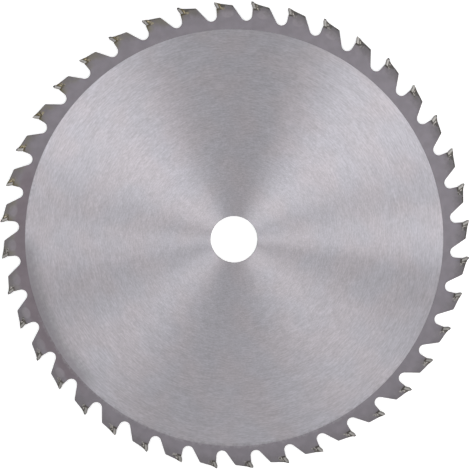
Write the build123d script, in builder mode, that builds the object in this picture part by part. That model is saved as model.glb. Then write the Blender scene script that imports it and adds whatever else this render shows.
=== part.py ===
from build123d import *
from math import atan2, cos, degrees, radians, sin, tan
import os

# Brush cutter blade: a flat steel plate with forty carbide-tipped teeth.
# The plate lies in the XY plane with its bore on Z. Seen from +Z the teeth point anticlockwise.
# Lengths are in millimetres and angles in degrees.

# Plate
blade_diameter = 255.0
bore_diameter = 25.4
bore_chamfer = 0.15
plate_thickness = 1.4
tooth_count = 40
first_tooth_angle = 14.0

# Blasted rim, sunk a little round the masked disc that keeps its ground face
blast_depth = 0.02
mask_margin = 3.7
mask_offset = (-0.4, -0.95)

# Carbide tips, ground in turn high with bevelled corners and flat. The face leans by the hook
# angle up to the edge land, and runs out along the radius from there
kerf_width = 2.2
tip_thickness = 1.6
tip_length = 3.8
hook_angle = 24.5
edge_land = 0.8
tip_relief = 13.5
side_relief_down = 1.0
side_relief_back = 2.0
flat_tooth_drop = 0.5
corner_bevel = 0.7

# Steel teeth
land_drop = 0.27
land_relief = 12.0
shoulder_lead = 0.24
heel_distance = 10.15
heel_radius = 0.8
back_angle = 30.2
gullet_radius = 3.1

# Braze between tip and seat, its run-out on the land, and its fillets on both faces of the plate
braze_gap = 0.12
braze_run = 1.6
braze_height = 0.24
braze_width_heel = 0.7
braze_width_front = 0.35

# Worked out from the sizes above
rim_thickness = plate_thickness - 2 * blast_depth
pitch_angle = 360 / tooth_count
high_tip_radius = blade_diameter / 2
flat_tip_radius = high_tip_radius - flat_tooth_drop


def meet(point, angle, other_point, other_angle):
    """The point where two lines cross, each given by a point and a direction."""
    step = Vector(cos(radians(angle)), sin(radians(angle)))
    other_step = Vector(cos(radians(other_angle)), sin(radians(other_angle)))
    gap = other_point - point
    travel = gap.cross(other_step).Z / step.cross(other_step).Z
    return point + step * travel


def tip_profile(radius):
    """Front, edge and back of a tip's top, seen along the bore, for a cutting edge at a radius."""
    edge = Vector(face_bend.X, radius)
    top_back = meet(edge, -tip_relief, tip_foot_back, up_rake_angle)
    return [face_bend, edge, top_back]


# One tooth's outline, in the tooth's own frame: Y runs out along the radius through the point
# where the leaning face, drawn on, reaches the flat tips' radius; X runs back along the tooth
hook_point = Vector(0, flat_tip_radius)
up_rake_angle = 90 + hook_angle
up_rake = Vector(0, 1).rotate(Axis.Z, hook_angle)
through_tip = Vector(1, 0).rotate(Axis.Z, hook_angle)
face_bend = hook_point + up_rake * (-edge_land / cos(radians(hook_angle)))
tip_foot_front = hook_point - up_rake * tip_length
tip_foot_back = tip_foot_front + Vector(tip_thickness / cos(radians(hook_angle)), 0)
tip_edge, tip_top_back = tip_profile(flat_tip_radius)[1:]

# The seat is the tip's foot and back, moved away by the braze gap, and ends in a shoulder ahead
land_start = tip_top_back - Vector(0, land_drop)
seat_floor = tip_foot_front - Vector(shoulder_lead, braze_gap)
seat_wall = tip_foot_back + through_tip * braze_gap
seat_corner = meet(seat_floor, 0, seat_wall, up_rake_angle)
seat_top = meet(land_start, -land_relief, seat_wall, up_rake_angle)
braze_end = seat_top + Vector(braze_run, 0).rotate(Axis.Z, -land_relief)

# Top land, heel and back of the steel tooth, and the gullet between its front and the tooth ahead
heel = meet(land_start, -land_relief, Vector(heel_distance, 0), 90)
heel_ahead = heel.rotate(Axis.Z, pitch_angle)
back_ahead = back_angle - 90 + pitch_angle
gullet_corner = meet(seat_floor, 90, heel_ahead, back_ahead)

# The gullet's arc touches both lines, and the mask ends a margin inside the gullet's floor
off_front = Vector(-gullet_radius, 0)
off_back = Vector(0, gullet_radius).rotate(Axis.Z, back_ahead)
gullet_centre = meet(seat_floor + off_front, 90, heel_ahead + off_back, back_ahead)
mask_radius = gullet_centre.length - gullet_radius - mask_margin

tooth_corners = [gullet_corner, seat_floor, seat_corner, seat_top, heel]
tooth_radii = [gullet_radius, 0, 0, 0, heel_radius]


def tooth_plane(number):
    """The XY plane turned so that its Y runs out through the cutting edge of one tooth."""
    return Plane.XY.rotated((0, 0, first_tooth_angle - 90 - number * pitch_angle))


def rake_plane(depth):
    """A plane parallel to the leaning face at a depth behind the flat tips' edge, its Y up the face."""
    tooth = tooth_plane(0)
    origin = tooth.from_local_coords(tip_edge + through_tip * depth)
    facing = tooth.from_local_coords(-through_tip)
    return Plane(origin=origin, x_dir=(0, 0, 1), z_dir=facing)


def upright_plane(point, angle):
    """A plane square to the plate, its X along one direction of the first tooth's frame."""
    tooth = tooth_plane(0)
    along = Vector(1, 0).rotate(Axis.Z, angle)
    return Plane(
        origin=tooth.from_local_coords(point),
        x_dir=tooth.from_local_coords(along),
        z_dir=tooth.from_local_coords(along.rotate(Axis.Z, -90)),
    )


def tip_width(depth, height):
    """A tip's half-width at a depth behind the flat tips' edge and a height above it."""
    side = kerf_width / 2 - depth * tan(radians(side_relief_back))
    return side + height * tan(radians(side_relief_down))


def make_tip(radius, bevel):
    """One carbide tip at the first tooth, its sides narrowing towards its foot and its back."""
    with BuildPart() as tip:
        with BuildSketch(tooth_plane(0)):
            with BuildLine():
                Polyline(*tip_profile(radius), tip_foot_back, tip_foot_front, close=True)
            make_face()
        extrude(amount=kerf_width, both=True)
        for depth in (-tip_thickness, tip_thickness):
            half = [(tip_width(depth, height), height) for height in (-2 * tip_length, tip_length)]
            other_half = [(-x, y) for x, y in reversed(half)]
            with BuildSketch(rake_plane(depth)):
                Polygon(*half, *other_half, align=None)
        loft(ruled=True, mode=Mode.INTERSECT)
        if bevel:
            top = tip.faces().sort_by_distance((0, 0, 0))[-1]
            chamfer(top.edges().filter_by(Axis.Z, reverse=True), bevel)
    return tip.part


# Steel plate: the toothed outline, the sunk rim, the bore and its light chamfers
outline_points = []
for number in range(tooth_count):
    plane = tooth_plane(number)
    outline_points += [plane.from_local_coords(corner) for corner in tooth_corners]

with BuildPart() as blade_body:
    with BuildSketch():
        with BuildLine():
            FilletPolyline(*outline_points, radius=tooth_radii * tooth_count, close=True)
        make_face()
        Circle(bore_diameter / 2, mode=Mode.SUBTRACT)
    extrude(amount=plate_thickness / 2, both=True)
    with BuildSketch(Plane.XY.offset(rim_thickness / 2)) as blasted_rim:
        Circle(blade_diameter / 2)
        with Locations(mask_offset):
            Circle(mask_radius, mode=Mode.SUBTRACT)
    extrude(amount=blast_depth, mode=Mode.SUBTRACT)
    with BuildSketch(Plane.XY.offset(-rim_thickness / 2)):
        add(blasted_rim.sketch_local)
    extrude(amount=-blast_depth, mode=Mode.SUBTRACT)
    bore_rims = blade_body.edges().filter_by(GeomType.CIRCLE).filter_by(
        lambda edge: abs(edge.radius - bore_diameter / 2) < 0.01
    )
    chamfer(bore_rims, bore_chamfer)

# Carbide tips: both grinds are made at the first tooth and turned to their places
high_tip = make_tip(high_tip_radius, bevel=corner_bevel)
flat_tip = make_tip(flat_tip_radius, bevel=0)

# Braze: a thin L-shaped seam in the seat, run out over the land behind the tip, and a fillet round
# the back and foot of the tip on each face
seam_corners = [seat_floor, seat_corner, seat_top, braze_end, tip_top_back, tip_foot_back, tip_foot_front]
run_out = braze_end - tip_top_back
fillet_sections = [
    (tip_top_back, degrees(atan2(run_out.Y, run_out.X)), run_out.length),
    (tip_foot_back, -(90 - hook_angle) / 2, braze_width_heel),
    (tip_foot_front, -90, braze_width_front),
]

with BuildPart() as braze_joint:
    for point, angle, width in fillet_sections:
        with BuildSketch(upright_plane(point, angle)):
            Polygon(
                (0, rim_thickness / 2),
                (width, rim_thickness / 2),
                (0, rim_thickness / 2 + braze_height),
                align=None,
            )
    loft(ruled=True)
    mirror(about=Plane.XY)
    with BuildSketch(tooth_plane(0)):
        with BuildLine():
            Polyline(*seam_corners, close=True)
        make_face()
    extrude(amount=rim_thickness / 2, both=True)

with BuildPart() as braze:
    with PolarLocations(0, tooth_count):
        add(braze_joint.part)

os.makedirs("parts", exist_ok=True)

blade_body.part.label = "blade_body"
export_step(blade_body.part, "parts/blade_body.step")

braze.part.label = "braze"
export_step(braze.part, "parts/braze.step")

for number in range(tooth_count):
    grind, blank = [("high", high_tip), ("flat", flat_tip)][number % 2]
    with BuildPart() as tip:
        add(blank, rotation=(0, 0, -number * pitch_angle))
    tip.part.label = f"{grind}_tip_{number // 2 + 1:02d}"
    export_step(tip.part, f"parts/{tip.part.label}.step")
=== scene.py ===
import math

import bpy
from mathutils import Matrix, Vector


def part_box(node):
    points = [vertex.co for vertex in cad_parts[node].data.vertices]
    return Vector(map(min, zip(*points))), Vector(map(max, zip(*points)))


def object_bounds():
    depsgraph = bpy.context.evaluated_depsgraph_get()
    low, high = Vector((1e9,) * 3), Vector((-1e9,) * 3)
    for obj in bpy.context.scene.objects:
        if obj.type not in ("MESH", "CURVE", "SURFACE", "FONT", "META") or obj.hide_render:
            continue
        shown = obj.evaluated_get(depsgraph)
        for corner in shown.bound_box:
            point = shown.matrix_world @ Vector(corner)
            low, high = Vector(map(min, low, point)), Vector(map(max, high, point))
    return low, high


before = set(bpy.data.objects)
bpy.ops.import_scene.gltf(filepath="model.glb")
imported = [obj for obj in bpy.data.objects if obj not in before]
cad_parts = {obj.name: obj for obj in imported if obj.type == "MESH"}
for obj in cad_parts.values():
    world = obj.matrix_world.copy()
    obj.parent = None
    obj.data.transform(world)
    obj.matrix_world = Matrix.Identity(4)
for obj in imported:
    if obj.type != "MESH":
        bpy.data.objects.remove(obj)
cad_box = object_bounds()

# Steel plate, its ground disc. The plate is cut from sheet and ground on a turning table, so fine
# hair lines run round the bore and throw the light back in fans.
GROUND_COLOUR = (0.523, 0.509, 0.551, 1)
MILLIMETRES_PER_METRE = 1000


def add_node(finish, kind, inputs, **settings):
    """Adds a shader node. Each input, by name or number, is a value or another node's output."""
    node = finish.node_tree.nodes.new("ShaderNode" + kind)
    for name, value in settings.items():
        setattr(node, name, value)
    for name, value in inputs.items():
        if isinstance(value, bpy.types.NodeSocket):
            finish.node_tree.links.new(value, node.inputs[name])
        else:
            node.inputs[name].default_value = value
    return node


def calc(finish, operation, first, *others):
    """The output of a Math node, or of a chain of them where several other values follow."""
    result = first
    for other in others or [0.0]:
        result = add_node(finish, "Math", {0: result, 1: other}, operation=operation).outputs[0]
    return result


def vector(finish, operation, first, second=(0, 0, 0), scale=1.0):
    """The output of one Vector Math node: a number for a length or dot product, else a vector."""
    inputs = {0: first, 1: second, 3: scale}
    node = add_node(finish, "VectorMath", inputs, operation=operation)
    return node.outputs["Value" if operation in ("LENGTH", "DOT_PRODUCT") else "Vector"]


def new_finish(name):
    """An empty material."""
    finish = bpy.data.materials.new(name)
    finish.use_nodes = True
    finish.node_tree.nodes.clear()
    return finish


def own_place(finish):
    """A point's place on the object in millimetres."""
    metres = add_node(finish, "TexCoord", {}).outputs["Object"]
    return vector(finish, "SCALE", metres, scale=MILLIMETRES_PER_METRE)


def flatten(finish, place):
    """A place with its height left out."""
    return vector(finish, "MULTIPLY", place, (1, 1, 0))


def polar(finish, place):
    """The distance from the bore's axis, and the way out from it as a flat unit vector."""
    flat = flatten(finish, place)
    return vector(finish, "LENGTH", flat), vector(finish, "NORMALIZE", flat)


ground = new_finish("ground_steel")
place = own_place(ground)
radius, out = polar(ground, place)

# Large patches of the sheet are a little warmer. A fade is where it starts and ends, in a pattern's
# values or in millimetres, with the shares at those two ends where they aren't 0 and 1. The Mix
# node's sockets for a share and for colours are known by number.
WARM_COLOUR = (0.538, 0.508, 0.541, 1)
WARM_PATCH_SIZE = 22
WARM_FADE = (0.36, 0.64)
MIX_SHARE = 0
MIX_COLOURS = (6, 7)
MIX_RESULT = 2


def fade(finish, value, start, end, low=0.0, high=1.0):
    """A smooth step from low to high while the value goes from start to end."""
    inputs = {"Value": value, "From Min": start, "From Max": end, "To Min": low, "To Max": high}
    step = add_node(finish, "MapRange", inputs, interpolation_type="SMOOTHSTEP")
    return step.outputs["Result"]


def noise(finish, place, size, detail=2.0, roughness=0.5):
    """Smooth noise from 0 to 1, its lumps about as large as size in the place's own units."""
    inputs = {"Vector": place, "Scale": 1 / size, "Detail": detail, "Roughness": roughness}
    return add_node(finish, "TexNoise", inputs).outputs["Fac"]


def tint(finish, share, first, second, blend_type="MIX"):
    """One colour laid over another by a share from 0 to 1."""
    inputs = {MIX_SHARE: share, MIX_COLOURS[0]: first, MIX_COLOURS[1]: second}
    mix = add_node(finish, "Mix", inputs, data_type="RGBA", blend_type=blend_type)
    return mix.outputs[MIX_RESULT]


patches = noise(ground, place, WARM_PATCH_SIZE, detail=1.0)
colour = tint(ground, fade(ground, patches, *WARM_FADE), GROUND_COLOUR, WARM_COLOUR)

# Each kind of grinding line has its steps of noise in one radian and its lines per millimetre,
# and then the spread and the contrast with which it shows
HAIR_LINES = (16, 1.8)
HAIR_SHOW = (0.25, 0.075)
NICK_LINES = (55, 1.7)
NICK_SHOW = (0.25, 0.075)
SCORE_LINES = (9, 0.28)
SCORE_SHOW = (0.2, 0.028)
LINE_DEPTH = 0.000004


def brighten(finish, colour, factor):
    """A colour times a plain number."""
    grey = add_node(finish, "CombineColor", {0: factor, 1: factor, 2: factor}).outputs[0]
    return tint(finish, 1.0, colour, grey, blend_type="MULTIPLY")


def mottle(finish, colour, pattern, spread, contrast):
    """A colour made lighter and darker by a contrast as noise strays from its middle by a spread."""
    factor = fade(finish, pattern, 0.5 - spread, 0.5 + spread, 1 - contrast, 1 + contrast)
    return brighten(finish, colour, factor)


def round_lines(finish, radius, out, steps_per_radian, lines_per_millimetre):
    """Noise drawn out along circles round the bore, its value from 0 to 1."""
    across = calc(finish, "MULTIPLY", radius, lines_per_millimetre)
    along = vector(finish, "SCALE", out, scale=steps_per_radian)
    spot = vector(finish, "ADD", along, add_node(finish, "CombineXYZ", {2: across}).outputs[0])
    return noise(finish, spot, 1.0, detail=1.0)


hair = round_lines(ground, radius, out, *HAIR_LINES)
nick = round_lines(ground, radius, out, *NICK_LINES)
score = round_lines(ground, radius, out, *SCORE_LINES)
colour = mottle(ground, colour, hair, *HAIR_SHOW)
colour = mottle(ground, colour, nick, *NICK_SHOW)
colour = mottle(ground, colour, score, *SCORE_SHOW)

# The mask that kept the disc ground sat a little off the bore, and leaked on the lower left. Its
# centre and radius are in millimetres, and a stretch is an azimuth and a half width in degrees.
MASK_CENTRE = (-0.4, -0.95)
MASK_RADIUS = 113.33
RAGGED_SIZE = 1.6
RAGGED_FADE = (0.3, 0.7, -0.9, 0.9)
LEAK_COLOUR = (0.29, 0.275, 0.295, 1)
LEAK_STRETCH = (203, 26)
LEAK_FADE = (-11, 0, 0.0, 0.8)
EDGE_LEAK_STRETCH = (240, 100)
EDGE_LEAK_FADE = (-1.6, 0.4, 0.0, 0.4)


def towards(finish, out, azimuth, half_width):
    """A share that is 1 near one azimuth of the blade and fades to 0 at half a width from it."""
    way = (math.cos(math.radians(azimuth)), math.sin(math.radians(azimuth)), 0)
    outer = math.cos(math.radians(half_width))
    return fade(finish, vector(finish, "DOT_PRODUCT", out, way), outer, (1 + outer) / 2)


def past_mask(finish, place):
    """How far a place lies outside the mask that kept the disc ground."""
    gap = vector(finish, "SUBTRACT", flatten(finish, place), (*MASK_CENTRE, 0))
    return calc(finish, "SUBTRACT", vector(finish, "LENGTH", gap), MASK_RADIUS)


def ragged_shift(finish, place):
    """A shift of up to a millimetre either way that makes an edge uneven."""
    return fade(finish, noise(finish, place, RAGGED_SIZE), *RAGGED_FADE)


leak_depth = calc(ground, "ADD", past_mask(ground, place), ragged_shift(ground, place))
leak = calc(
    ground, "MULTIPLY",
    towards(ground, out, *LEAK_STRETCH),
    fade(ground, leak_depth, *LEAK_FADE),
)
edge_leak = calc(
    ground, "MULTIPLY",
    towards(ground, out, *EDGE_LEAK_STRETCH),
    fade(ground, leak_depth, *EDGE_LEAK_FADE),
)
colour = tint(ground, calc(ground, "MAXIMUM", leak, edge_leak), colour, LEAK_COLOUR)


def finish_metal(finish, colour, roughness, relief, depth):
    """The metal shader under a relief of some depth, with the material's output."""
    bump = add_node(finish, "Bump", {"Height": relief, "Strength": 1.0, "Distance": depth})
    inputs = {"Base Color": colour, "Metallic": 1.0, "Roughness": roughness, "Normal": bump.outputs[0]}
    metal = add_node(finish, "BsdfPrincipled", inputs)
    add_node(finish, "OutputMaterial", {"Surface": metal.outputs[0]})
    return metal


# The grind scatters light square to its lines, which run round the bore
GROUND_ROUGHNESS = 0.46
GROUND_ANISOTROPY = 0.96
QUARTER_TURN = 0.25
metal = finish_metal(ground, colour, GROUND_ROUGHNESS, hair, LINE_DEPTH)
metal.inputs["Anisotropic"].default_value = GROUND_ANISOTROPY
metal.inputs["Anisotropic Rotation"].default_value = QUARTER_TURN
radial = add_node(ground, "Tangent", {}, direction_type="RADIAL", axis="Z")
ground.node_tree.links.new(radial.outputs[0], metal.inputs["Tangent"])

# Steel plate, its blasted rim. The disc was masked and the rim and teeth were blasted after
# brazing, which leaves them matt and darker. Heat marks, solder and flux stain each tooth.
BLASTED_COLOUR = (0.262, 0.244, 0.268, 1)
RIM_ROUGHNESS = 0.68
GRAIN_SIZE = 0.4
GRAIN_DEPTH = 0.00003
CLOUD_SIZE = 5
CLOUD_SHOW = (0.2, 0.05)

# One tooth's outline, as in the solid: its tip, its top land, and the gullets before and behind it.
# A place on a tooth is in millimetres, back from the radius through the flat tips' edge and out
# from the axis, and a slope is in degrees.
TOOTH_PITCH = 9.0
FIRST_TOOTH_AZIMUTH = 14.0
FLAT_TIP_RADIUS = 127.0
HOOK_ANGLE = 24.5
TIP_LENGTH = 3.8
TIP_THICKNESS = 1.6
LAND_START = (1.93, 126.354)
LAND_SLOPE = -12.0
GULLET_BEFORE = (-1.764, 120.12)
GULLET_RADIUS = 3.1
FRONT_SLOPE = 90.0
BACK_SLOPE = 120.2
hook = math.radians(HOOK_ANGLE)
tip_edge = Vector((0, FLAT_TIP_RADIUS))
tip_front = tip_edge + TIP_LENGTH * Vector((math.sin(hook), -math.cos(hook)))
tip_foot = tip_front + Vector((TIP_THICKNESS / math.cos(hook), 0))
gullet_behind = Matrix.Rotation(math.radians(-TOOTH_PITCH), 2) @ Vector(GULLET_BEFORE)

# One tooth's share of the rim starts this many degrees ahead of it, in the gullet
TOOTH_LEAD = 0.827


def teeth_passed(finish, out):
    """How many teeth lie clockwise between the first tooth and a point, with a part of the last."""
    split = add_node(finish, "SeparateXYZ", {0: out})
    azimuth = calc(finish, "DEGREES", calc(finish, "ARCTAN2", split.outputs[1], split.outputs[0]))
    clockwise = calc(finish, "SUBTRACT", FIRST_TOOTH_AZIMUTH + TOOTH_LEAD, azimuth)
    return calc(finish, "DIVIDE", clockwise, TOOTH_PITCH)


def tooth_place(finish, radius, teeth):
    """A point's place on its own tooth, in millimetres."""
    behind = calc(finish, "MULTIPLY", calc(finish, "FRACT", teeth), TOOTH_PITCH)
    angle = calc(finish, "RADIANS", calc(finish, "SUBTRACT", behind, TOOTH_LEAD))
    back = calc(finish, "MULTIPLY", radius, calc(finish, "SINE", angle))
    up = calc(finish, "MULTIPLY", radius, calc(finish, "COSINE", angle))
    return add_node(finish, "CombineXYZ", {0: back, 1: up}).outputs[0]


def tooth_chance(finish, teeth):
    """A chance number from 0 to 1 for each tooth."""
    number = calc(finish, "FLOORED_MODULO", calc(finish, "FLOOR", teeth), 360 / TOOTH_PITCH)
    return add_node(finish, "TexWhiteNoise", {"W": number}, noise_dimensions="1D").outputs["Value"]


def beyond(finish, spot, point, angle):
    """How far a place on a tooth lies beyond a line's point, along one direction."""
    way = (math.cos(math.radians(angle)), math.sin(math.radians(angle)), 0)
    gap = vector(finish, "SUBTRACT", spot, (*point, 0))
    return vector(finish, "DOT_PRODUCT", gap, way)


def from_gullet(finish, spot, centre, slope):
    """The steel's depth behind a gullet, whose one wall runs on straight along a slope."""
    across = beyond(finish, spot, centre, slope - 90)
    along = calc(finish, "MINIMUM", beyond(finish, spot, centre, slope), 0.0)
    far = add_node(finish, "CombineXYZ", {0: across, 1: along}).outputs[0]
    return calc(finish, "SUBTRACT", vector(finish, "LENGTH", far), GULLET_RADIUS)


rim = new_finish("blasted_steel")
place = own_place(rim)
radius, out = polar(rim, place)
teeth = teeth_passed(rim, out)
spot = tooth_place(rim, radius, teeth)
chance = tooth_chance(rim, teeth)
grain = noise(rim, place, GRAIN_SIZE, detail=3.0, roughness=0.6)
cloud = noise(rim, place, CLOUD_SIZE)
wander = ragged_shift(rim, place)

land_depth = beyond(rim, spot, LAND_START, LAND_SLOPE - 90)
front_depth = from_gullet(rim, spot, GULLET_BEFORE, FRONT_SLOPE)
back_depth = from_gullet(rim, spot, gullet_behind, BACK_SLOPE)
edge_depth = calc(rim, "MINIMUM", land_depth, front_depth, back_depth)
behind_tip = beyond(rim, spot, tip_foot, HOOK_ANGLE)
above_foot = beyond(rim, spot, tip_foot, 90)

# The left of the rim is redder below its teeth, and olive above
REDDISH_COLOUR = (0.233, 0.203, 0.224, 1)
REDDISH_STRETCH = (192, 37)
REDDISH_RADIUS_FADE = (121.0, 118.5)
OLIVE_COLOUR = (0.245, 0.23, 0.20, 1)
OLIVE_STRETCH = (145, 55)
OLIVE_RADIUS_FADE = (118.5, 121.5)
OLIVE_DEPTH_FADE = (4.5, 1.5)
OLIVE_CLOUD_FADE = (0.35, 0.6, 0.25, 0.9)
reddish = calc(
    rim, "MULTIPLY",
    towards(rim, out, *REDDISH_STRETCH),
    fade(rim, radius, *REDDISH_RADIUS_FADE),
)
olive = calc(
    rim, "MULTIPLY",
    towards(rim, out, *OLIVE_STRETCH),
    fade(rim, radius, *OLIVE_RADIUS_FADE),
    fade(rim, edge_depth, *OLIVE_DEPTH_FADE),
    fade(rim, cloud, *OLIVE_CLOUD_FADE),
)
colour = tint(rim, reddish, BLASTED_COLOUR, REDDISH_COLOUR)
colour = tint(rim, olive, colour, OLIVE_COLOUR)
colour = mottle(rim, colour, cloud, *CLOUD_SHOW)

# The mask leaked a little along its lower left edge, so the blasting is thin and speckled there
SPECKLE_COLOUR = (0.36, 0.345, 0.365, 1)
SPECKLE_STRETCH = (255, 60)
SPECKLE_FADE = (1.4, -0.4, 0.0, 0.6)
mask_depth = calc(rim, "ADD", past_mask(rim, place), wander)
speckle = calc(
    rim, "MULTIPLY",
    towards(rim, out, *SPECKLE_STRETCH),
    fade(rim, mask_depth, *SPECKLE_FADE),
)
colour = tint(rim, speckle, colour, SPECKLE_COLOUR)

# Pale ovals where the tooth was gripped for brazing, on two stretches of the rim. An oval is its
# centre on the tooth, its width and its height.
HEAT_COLOUR = (0.325, 0.302, 0.325, 1)
HEAT_OVAL = ((7.2, 120.6), 6.8, 4.8)
UPPER_HEAT_STRETCH = (77, 22)
LEFT_HEAT_STRETCH = (194, 30)
HEAT_CHANCE_FADE = (0.0, 1.0, 0.45, 0.85)
OVAL_EDGE_FADE = (1.1, 0.75)


def oval(finish, spot, centre, width, height):
    """A share that is 1 inside an oval on a tooth and fades out at its edge."""
    gap = vector(finish, "SUBTRACT", spot, (*centre, 0))
    reach = vector(finish, "LENGTH", vector(finish, "DIVIDE", gap, (width / 2, height / 2, 1)))
    return fade(finish, reach, *OVAL_EDGE_FADE)


heated = calc(
    rim, "MAXIMUM",
    towards(rim, out, *UPPER_HEAT_STRETCH),
    towards(rim, out, *LEFT_HEAT_STRETCH),
)
heat = calc(
    rim, "MULTIPLY",
    oval(rim, spot, *HEAT_OVAL),
    heated,
    fade(rim, chance, *HEAT_CHANCE_FADE),
)
colour = tint(rim, heat, colour, HEAT_COLOUR)

# Flux that has run down the front of each tooth on the upper left
FLUX_COLOUR = (0.18, 0.165, 0.115, 1)
GOLDEN_STRETCH = (131, 52)
FLUX_FRONT_FADE = (2.2, 0.5)
FLUX_FOOT_FADE = (-5.0, -1.0)
FLUX_CLOUD_FADE = (0.35, 0.6, 0.45, 0.85)
flux_run = calc(
    rim, "MULTIPLY",
    towards(rim, out, *GOLDEN_STRETCH),
    fade(rim, front_depth, *FLUX_FRONT_FADE),
    fade(rim, above_foot, *FLUX_FOOT_FADE),
    fade(rim, cloud, *FLUX_CLOUD_FADE),
)
colour = tint(rim, flux_run, colour, FLUX_COLOUR)

# Solder spilt past the seat, on some teeth more than on others
SOLDER_PALE = (0.505, 0.48, 0.455, 1)
SOLDER_GOLD = (0.52, 0.455, 0.305, 1)
SOLDER_DARK = (0.085, 0.077, 0.068, 1)
SOLDER_BROWN = (0.10, 0.082, 0.048, 1)
LUMP_SIZE = 0.9
LUMP_FADE = (0.4, 0.58)
JOINT_FADE = (0.15, 0.5)
BELOW_LAND_FADE = (0.2, 1.1)
SPILL_BACK_FADE = (2.4, 1.6)
SPILL_FOOT_FADE = (-1.1, -0.4)
SPILL_CHANCE_FADE = (0.0, 1.0, 0.6, 1.0)


def solder_lumps(finish, place):
    """The lumps in solder, from 0 to 1."""
    return noise(finish, place, LUMP_SIZE, detail=3.0, roughness=0.6)


def solder_colour(finish, lumps, out, spot):
    """Pale metal in dark flux, gold and brown on one side, with flux alone at the joint and the land."""
    golden = towards(finish, out, *GOLDEN_STRETCH)
    metal = tint(finish, golden, SOLDER_PALE, SOLDER_GOLD)
    flux = tint(finish, golden, SOLDER_DARK, SOLDER_BROWN)
    share = calc(
        finish, "MULTIPLY",
        fade(finish, lumps, *LUMP_FADE),
        fade(finish, beyond(finish, spot, tip_foot, HOOK_ANGLE), *JOINT_FADE),
        fade(finish, beyond(finish, spot, LAND_START, LAND_SLOPE - 90), *BELOW_LAND_FADE),
    )
    return tint(finish, share, flux, metal)


spill = calc(
    rim, "MULTIPLY",
    fade(rim, calc(rim, "ADD", behind_tip, wander), *SPILL_BACK_FADE),
    fade(rim, above_foot, *SPILL_FOOT_FADE),
    fade(rim, chance, *SPILL_CHANCE_FADE),
)
colour = tint(rim, spill, colour, solder_colour(rim, solder_lumps(rim, place), out, spot))

# The top of each tooth is darker, most at the upper right: a wide darkening, partly scale from the
# flame and partly painted shade, a dark line along the land and a pocket of scale behind the solder.
# Every edge is darker within half a millimetre.
SCALE_AND_SHADE_COLOUR = (0.105, 0.10, 0.093, 1)
SCALE_AND_SHADE_STRETCH = (49, 72)
SHADE_FADE = (6.5, 1.0)
SHADE_STRENGTH = (0.25, 0.46)
LINE_FADE = (1.3, 0.3)
LINE_WANDER = 0.3
LINE_STRENGTH = (0.35, 0.95)
POCKET_OVAL = ((4.9, 125.0), 3.4, 2.4)
POCKET_STRENGTH = 0.9
EDGE_DARKENING_FADE = (0.0, 0.5, 0.6, 1.0)
scaled_and_shaded = towards(rim, out, *SCALE_AND_SHADE_STRETCH)
# Painted shade as well as scale: the wide darkening below the land, strongest on the upper right
shade = calc(
    rim, "MULTIPLY",
    fade(rim, calc(rim, "ADD", land_depth, wander), *SHADE_FADE),
    fade(rim, scaled_and_shaded, 0, 1, *SHADE_STRENGTH),
)
line_depth = calc(rim, "ADD", land_depth, calc(rim, "MULTIPLY", wander, LINE_WANDER))
line = calc(
    rim, "MULTIPLY",
    fade(rim, line_depth, *LINE_FADE),
    fade(rim, scaled_and_shaded, 0, 1, *LINE_STRENGTH),
)
pocket = calc(rim, "MULTIPLY", oval(rim, spot, *POCKET_OVAL), scaled_and_shaded, POCKET_STRENGTH)
colour = tint(rim, calc(rim, "MAXIMUM", shade, line, pocket), colour, SCALE_AND_SHADE_COLOUR)
colour = brighten(rim, colour, fade(rim, edge_depth, *EDGE_DARKENING_FADE))
finish_metal(rim, colour, RIM_ROUGHNESS, grain, GRAIN_DEPTH)

# Steel plate, its cut walls. The outline and the bore are cut through the sheet and left bare,
# with fine marks square to the faces.
WALL_COLOUR = (0.20, 0.19, 0.20, 1)
WALL_ROUGHNESS = 0.5
MARK_SIZE = 0.4
MARK_STRETCHING = (1, 1, 0.08)
MARK_SHOW = (0.2, 0.2)
MARK_DEPTH = 0.00003
wall = new_finish("cut_steel")
marks = noise(wall, vector(wall, "MULTIPLY", own_place(wall), MARK_STRETCHING), MARK_SIZE, detail=3.0)
colour = mottle(wall, WALL_COLOUR, marks, *MARK_SHOW)
finish_metal(wall, colour, WALL_ROUGHNESS, marks, MARK_DEPTH)

# The plate's faces take these three finishes by where they lie: a wall isn't level, and the blasted
# rim is sunk below the ground disc by more than a tolerance
LEVEL_NORMAL = 0.99
SINK_TOLERANCE = 0.00001


def dress(node, *finishes):
    """Gives a piece its finishes, in place of any that it has."""
    node.data.materials.clear()
    for finish in finishes:
        node.data.materials.append(finish)


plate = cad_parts["blade_body"]
plate_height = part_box("blade_body")[1][2]
plate_finishes = (ground, rim, wall)
dress(plate, *plate_finishes)
for polygon in plate.data.polygons:
    if abs(polygon.normal.z) < LEVEL_NORMAL:
        polygon.material_index = plate_finishes.index(wall)
    elif plate_height - abs(polygon.center.z) > SINK_TOLERANCE:
        polygon.material_index = plate_finishes.index(rim)

# Carbide tips. Each is a sintered block, brazed in its seat and then ground on its face, top and
# sides. It is paler than the steel, with dark lines where its ground faces meet.
CARBIDE_COLOUR = (0.40, 0.386, 0.368, 1)
# The bevels are the same carbide, painted nearly black: painted shade for the dark that they reflect
BEVEL_SHADE_COLOUR = (0.05, 0.047, 0.045, 1)
CARBIDE_ROUGHNESS = 0.58
SPECK_SIZE = 0.5
SPECK_FADE = (0.3, 0.7, 0.88, 1.1)
SPECK_DEPTH = 0.00001
# Stretches of the rim whose tips are painted a little darker as painted shade, and how much
TIP_SHADE_STRETCHES = ((98, 34), (207, 34), (266, 20), (340, 20))
TIP_SHADE_FADE = (0, 1, 1.0, 0.82)
# Dark lines along the face, the back and the foot
EDGE_COLOUR = (0.09, 0.086, 0.082, 1)
FACE_LINE_FADE = (0.55, 0.15, 0.0, 0.75)
BACK_LINE_FADE = (TIP_THICKNESS - 0.35, TIP_THICKNESS - 0.05, 0.0, 0.8)
FOOT_LINE_FADE = (0.25, 0.05, 0.0, 0.8)
# A bevel's faces lean: the least and most of their normals' upright part
BEVEL_LEAN = (0.3, 0.9)


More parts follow.
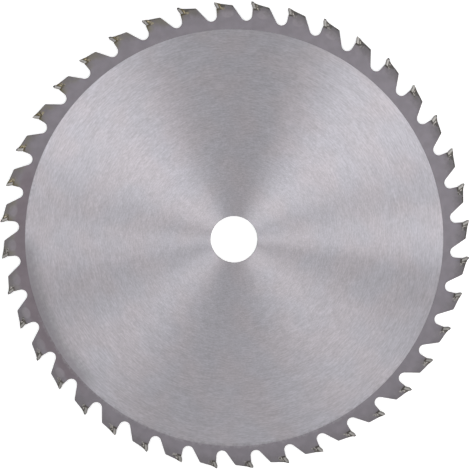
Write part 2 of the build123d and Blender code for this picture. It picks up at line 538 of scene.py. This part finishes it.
def carbide_finish(name, carbide_or_shade_colour):
    """Ground carbide, with its edges dark along the face, the back and the foot."""
    finish = new_finish(name)
    place = own_place(finish)
    radius, out = polar(finish, place)
    spot = tooth_place(finish, radius, teeth_passed(finish, out))
    specks = noise(finish, place, SPECK_SIZE, detail=3.0)
    colour = brighten(finish, carbide_or_shade_colour, fade(finish, specks, *SPECK_FADE))
    # Painted shade: the tips on these stretches are darkened
    for stretch in TIP_SHADE_STRETCHES:
        colour = brighten(finish, colour, fade(finish, towards(finish, out, *stretch), *TIP_SHADE_FADE))
    behind_face = beyond(finish, spot, tip_edge, HOOK_ANGLE)
    edges = calc(
        finish, "MAXIMUM",
        fade(finish, behind_face, *FACE_LINE_FADE),
        fade(finish, behind_face, *BACK_LINE_FADE),
        fade(finish, beyond(finish, spot, tip_foot, 90), *FOOT_LINE_FADE),
    )
    colour = tint(finish, edges, colour, EDGE_COLOUR)
    finish_metal(finish, colour, CARBIDE_ROUGHNESS, specks, SPECK_DEPTH)
    return finish


carbide = carbide_finish("ground_carbide", CARBIDE_COLOUR)
# Painted shade: the bevels take a nearly black copy of the carbide
shaded_bevel = carbide_finish("bevelled_carbide_painted_shade", BEVEL_SHADE_COLOUR)
tip_finishes = (carbide, shaded_bevel)
for name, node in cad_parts.items():
    if "_tip_" in name:
        dress(node, *tip_finishes)
        for polygon in node.data.polygons:
            if BEVEL_LEAN[0] < abs(polygon.normal.z) < BEVEL_LEAN[1]:
                polygon.material_index = tip_finishes.index(shaded_bevel)

# Braze. Silver solder run between each tip and its seat, over the land behind it and in a fillet on
# both faces. It is ragged, and tanned by the flame.
SOLDER_ROUGHNESS = 0.55
SOLDER_DEPTH = 0.0001
alloy = new_finish("braze_alloy")
place = own_place(alloy)
radius, out = polar(alloy, place)
spot = tooth_place(alloy, radius, teeth_passed(alloy, out))
lumps = solder_lumps(alloy, place)
colour = solder_colour(alloy, lumps, out, spot)
finish_metal(alloy, colour, SOLDER_ROUGHNESS, lumps, SOLDER_DEPTH)
dress(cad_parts["braze"], alloy)

# Floor. The blade lies flat on the undersides of its tips, on a plain sheet of matt white. Where the
# camera or a reflection sees the sheet, a glow lifts it to white, and it keeps the blade's shadow.
FLOOR_WIDTH = 8.0
FLOOR_CLEARANCE = 0.00002
FLOOR_COLOUR = (0.9, 0.9, 0.9, 1)
FLOOR_GLOW = 0.4
GLOW_COLOUR = (1, 1, 1, 1)
floor_height = cad_box[0][2] - FLOOR_CLEARANCE
bpy.ops.mesh.primitive_plane_add(size=FLOOR_WIDTH, location=(0, 0, floor_height))
floor = bpy.context.object
floor.name = "floor"
white = new_finish("floor_white")
rays = add_node(white, "LightPath", {})
seen = calc(white, "MAXIMUM", rays.outputs["Is Camera Ray"], rays.outputs["Is Glossy Ray"])
paper_inputs = {
    "Base Color": FLOOR_COLOUR,
    "Roughness": 1.0,
    "Specular IOR Level": 0.0,
    "Emission Color": GLOW_COLOUR,
    "Emission Strength": calc(white, "MULTIPLY", seen, FLOOR_GLOW),
}
paper = add_node(white, "BsdfPrincipled", paper_inputs)
add_node(white, "OutputMaterial", {"Surface": paper.outputs[0]})
dress(floor, white)

# Studio light: an even grey surround and eight soft lamps. Two hang close to the camera, one stands
# far off to the right near the floor, and five far soft boxes stand round the blade. Their
# reflections in the grind make the fans, and the gaps between them leave its dark wedges.
SURROUND = (0.475, 0.475, 0.475, 1)
# Each lamp's azimuth, angle from straight up, distance, light on the blade, width and height
LAMPS = {
    "right_lamp": (32.2, 26.7, 0.40, 0.54, 0.17, 0.06),
    "left_lamp": (151.2, 23.0, 0.50, 0.385, 0.17, 0.06),
    "low_lamp": (-3.8, 84.0, 2.95, 2.75, 0.80, 0.10),
    "right_box": (3.7, 45.0, 4.0, 0.10, 0.40, 2.14),
    "upper_box": (65.0, 45.0, 4.0, 0.085, 0.50, 2.14),
    "left_box": (166.8, 45.0, 4.0, 0.265, 1.89, 2.14),
    "lower_left_box": (224.7, 45.0, 4.0, 0.195, 1.14, 2.14),
    "lower_box": (287.3, 45.0, 4.0, 0.60, 3.66, 2.14),
}
world = bpy.data.worlds.new("surround")
world.use_nodes = True
world.node_tree.nodes["Background"].inputs["Color"].default_value = SURROUND
bpy.context.scene.world = world
for name, (azimuth, from_zenith, distance, light, width, height) in LAMPS.items():
    glow = bpy.data.lights.new(name, "AREA")
    glow.shape = "RECTANGLE"
    glow.size = height
    glow.size_y = width
    glow.energy = light * math.pi * distance**2
    lamp = bpy.data.objects.new(name, glow)
    swing = Matrix.Rotation(math.radians(azimuth), 4, "Z")
    lean = Matrix.Rotation(math.radians(from_zenith), 4, "Y")
    lamp.matrix_world = swing @ lean @ Matrix.Translation((0, 0, distance))
    lamp.visible_camera = False
    bpy.context.collection.objects.link(lamp)

# Camera at the photograph's angle. It looks almost straight down: the blade's top is tilted
# towards it by a few degrees and its right side by one, and the view is a little off centre.
TOP_TILT = 4.722
RIGHT_TILT = 1.135
VIEW_DISTANCE = 0.5454
VIEW_SHIFT = (-0.000524, -0.00236)
PIXELS_PER_METRE = 1843.2
PICTURE_WIDTH = 470
SENSOR_WIDTH = 36.0
NEAREST = 0.01
FARTHEST = 50
lens = bpy.data.cameras.new("camera")
lens.sensor_width = SENSOR_WIDTH
lens.lens = PIXELS_PER_METRE * VIEW_DISTANCE * SENSOR_WIDTH / PICTURE_WIDTH
lens.clip_start = NEAREST
lens.clip_end = FARTHEST
camera = bpy.data.objects.new("camera", lens)
blade_as_seen = (
    Matrix.Translation((*VIEW_SHIFT, 0))
    @ Matrix.Rotation(math.radians(TOP_TILT), 4, "X")
    @ Matrix.Rotation(math.radians(-RIGHT_TILT), 4, "Y")
)
camera.matrix_world = blade_as_seen.inverted() @ Matrix.Translation((0, 0, VIEW_DISTANCE))
bpy.context.collection.objects.link(camera)
bpy.context.scene.camera = camera
bpy.context.scene.view_settings.view_transform = "Standard"
